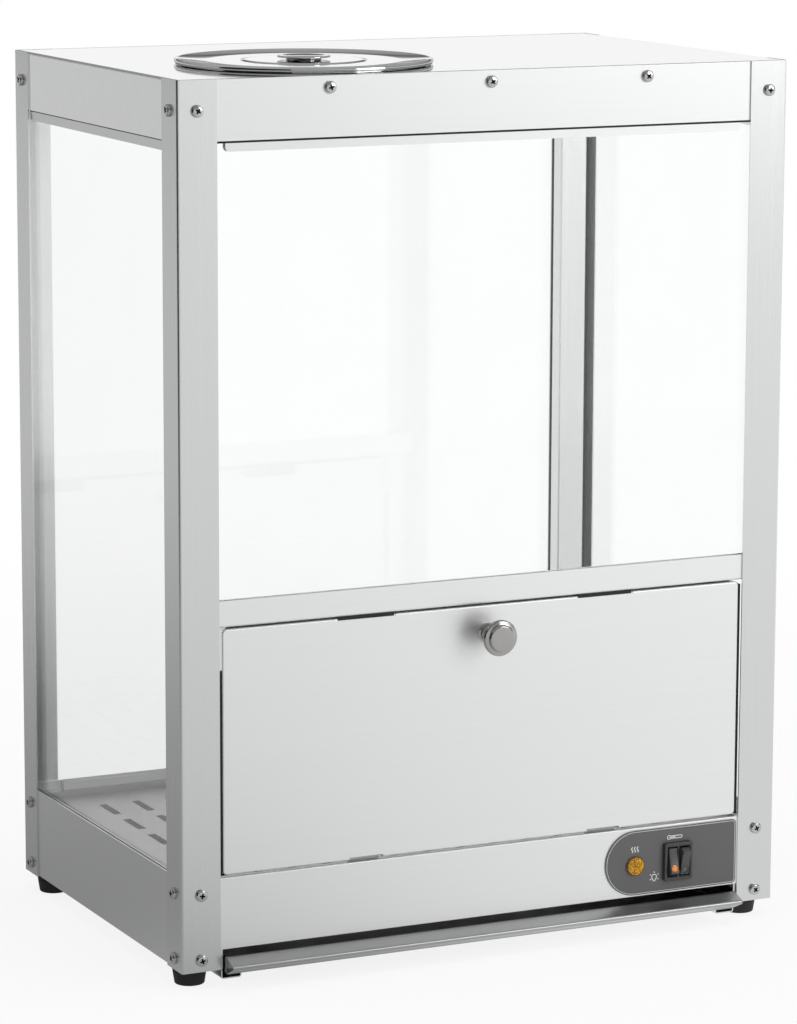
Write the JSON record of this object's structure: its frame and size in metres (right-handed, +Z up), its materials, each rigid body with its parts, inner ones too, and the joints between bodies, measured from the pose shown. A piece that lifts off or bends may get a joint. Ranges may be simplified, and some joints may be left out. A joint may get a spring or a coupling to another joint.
{
  "type": "chip warmer",
  "caption": "Glazed counter-top cabinet with a round filler lid, drop-down serving door, pull-out crumb tray and twin rocker switch, for keeping snack chips warm.",
  "frame": {"origin": "under the middle of the whole outline, on the surface that the rubber feet stand on", "axes": "+X to the right and +Y to the back as a user sees the door, +Z up; the door's knob is in front at -Y and the filler lid is on top, left of the middle"},
  "size_m": [0.4552, 0.3244, 0.6081],
  "materials": {
    "stainless_brushed": "fine brushed stainless sheet",
    "stainless_polished": "bright polished stainless sheet",
    "glass_clear": "clear toughened glass with ground edges",
    "bulb_glass": "frosted glass lamp",
    "screw_steel": "bright plated pan-head screws",
    "satin_nickel": "satin nickel turned knob",
    "rod_steel": "bright drawn steel rod",
    "plate_grey": "dark grey satin painted plate",
    "switch_black": "black moulded plastic",
    "lens_amber": "clear amber plastic lens",
    "indicator_white": "white moulded plastic",
    "rubber_black": "black rubber",
    "element_steel": "heat-darkened steel sheath",
    "galvanised": "zinc-coated sheet",
    "ceramic_white": "glazed white ceramic",
    "terminal_white": "white moulded plastic",
    "thermostat_black": "black moulded plastic",
    "gland_black": "black moulded plastic",
    "catch_black": "black moulded plastic over magnets",
    "lens_grey": "grey see-through plastic lens, unlit"
  },
  "bodies": {
    "cabinet": {"band_screws": "screw_steel", "control_box": "galvanised", "control_plate": "plate_grey", "cord_gland": "gland_black", "element_rails": "galvanised", "feet": "rubber_black", "filler_collar": "stainless_polished", "floor_grille": "stainless_brushed", "floor_ledges": "stainless_brushed", "foot_screws": "screw_steel", "front_apron": "stainless_brushed", "front_band": "stainless_brushed", "front_glass": "glass_clear", "front_glass_clip": "stainless_brushed", "header_rail": "stainless_brushed", "heating_element": "element_steel", "hinge_tabs": "stainless_brushed", "indicator_body": "indicator_white", "indicator_lens": "lens_amber", "lamp_bracket": "stainless_brushed", "lamp_bulb": "bulb_glass", "lamp_holder": "ceramic_white", "left_glass": "glass_clear", "left_glass_clip": "stainless_brushed", "left_runner": "stainless_brushed", "left_sill": "stainless_brushed", "left_skirt": "stainless_brushed", "magnetic_catches": "catch_black", "post_front_left": "stainless_brushed", "post_front_right": "stainless_brushed", "post_rear_left": "stainless_brushed", "post_rear_right": "stainless_brushed", "post_screws": "screw_steel", "rear_band": "stainless_brushed", "rear_glass": "glass_clear", "rear_glass_clip": "stainless_brushed", "rear_sill": "stainless_brushed", "rear_skirt": "stainless_brushed", "right_glass": "glass_clear", "right_glass_clip": "stainless_brushed", "right_runner": "stainless_brushed", "right_sill": "stainless_brushed", "right_skirt": "stainless_brushed", "switch_housing": "switch_black", "terminal_block": "terminal_white", "thermostat": "thermostat_black", "top_cover": "stainless_polished", "wire_duct": "stainless_brushed"},
    "door": {"door_panel": "stainless_brushed", "door_knob": "satin_nickel", "door_knob_screw": "screw_steel", "hinge_rod": "rod_steel"},
    "crumb_tray": {"crumb_tray": "stainless_brushed"},
    "filler_lid": {"filler_lid": "stainless_polished", "lid_knob": "stainless_polished", "lid_knob_screw": "screw_steel"},
    "light_rocker": {"light_rocker": "switch_black", "light_rocker_lens": "lens_amber"},
    "heat_rocker": {"heat_rocker": "switch_black", "heat_rocker_lens": "lens_grey"}
  },
  "joints": [
    {"name": "door_hinge", "type": "hinge", "parent": "cabinet", "child": "door", "pos_m": [0, -0.13575, 0.0793], "axis": [1, 0, 0], "range_deg": [0, 92]},
    {"name": "tray_slide", "type": "slide", "parent": "cabinet", "child": "crumb_tray", "axis": [0, -1, 0], "range_m": [0, 0.25]},
    {"name": "lid_lift", "type": "slide", "parent": "cabinet", "child": "filler_lid", "axis": [0, 0, 1], "range_m": [0, 0.1]},
    {"name": "light_rocker_turn", "type": "hinge", "parent": "cabinet", "child": "light_rocker", "pos_m": [0.14335, -0.14125, 0.0485], "axis": [1, 0, 0], "range_deg": [0, 28]},
    {"name": "heat_rocker_turn", "type": "hinge", "parent": "cabinet", "child": "heat_rocker", "pos_m": [0.15265, -0.14125, 0.0485], "axis": [1, 0, 0], "range_deg": [-28, 0]}
  ]
}
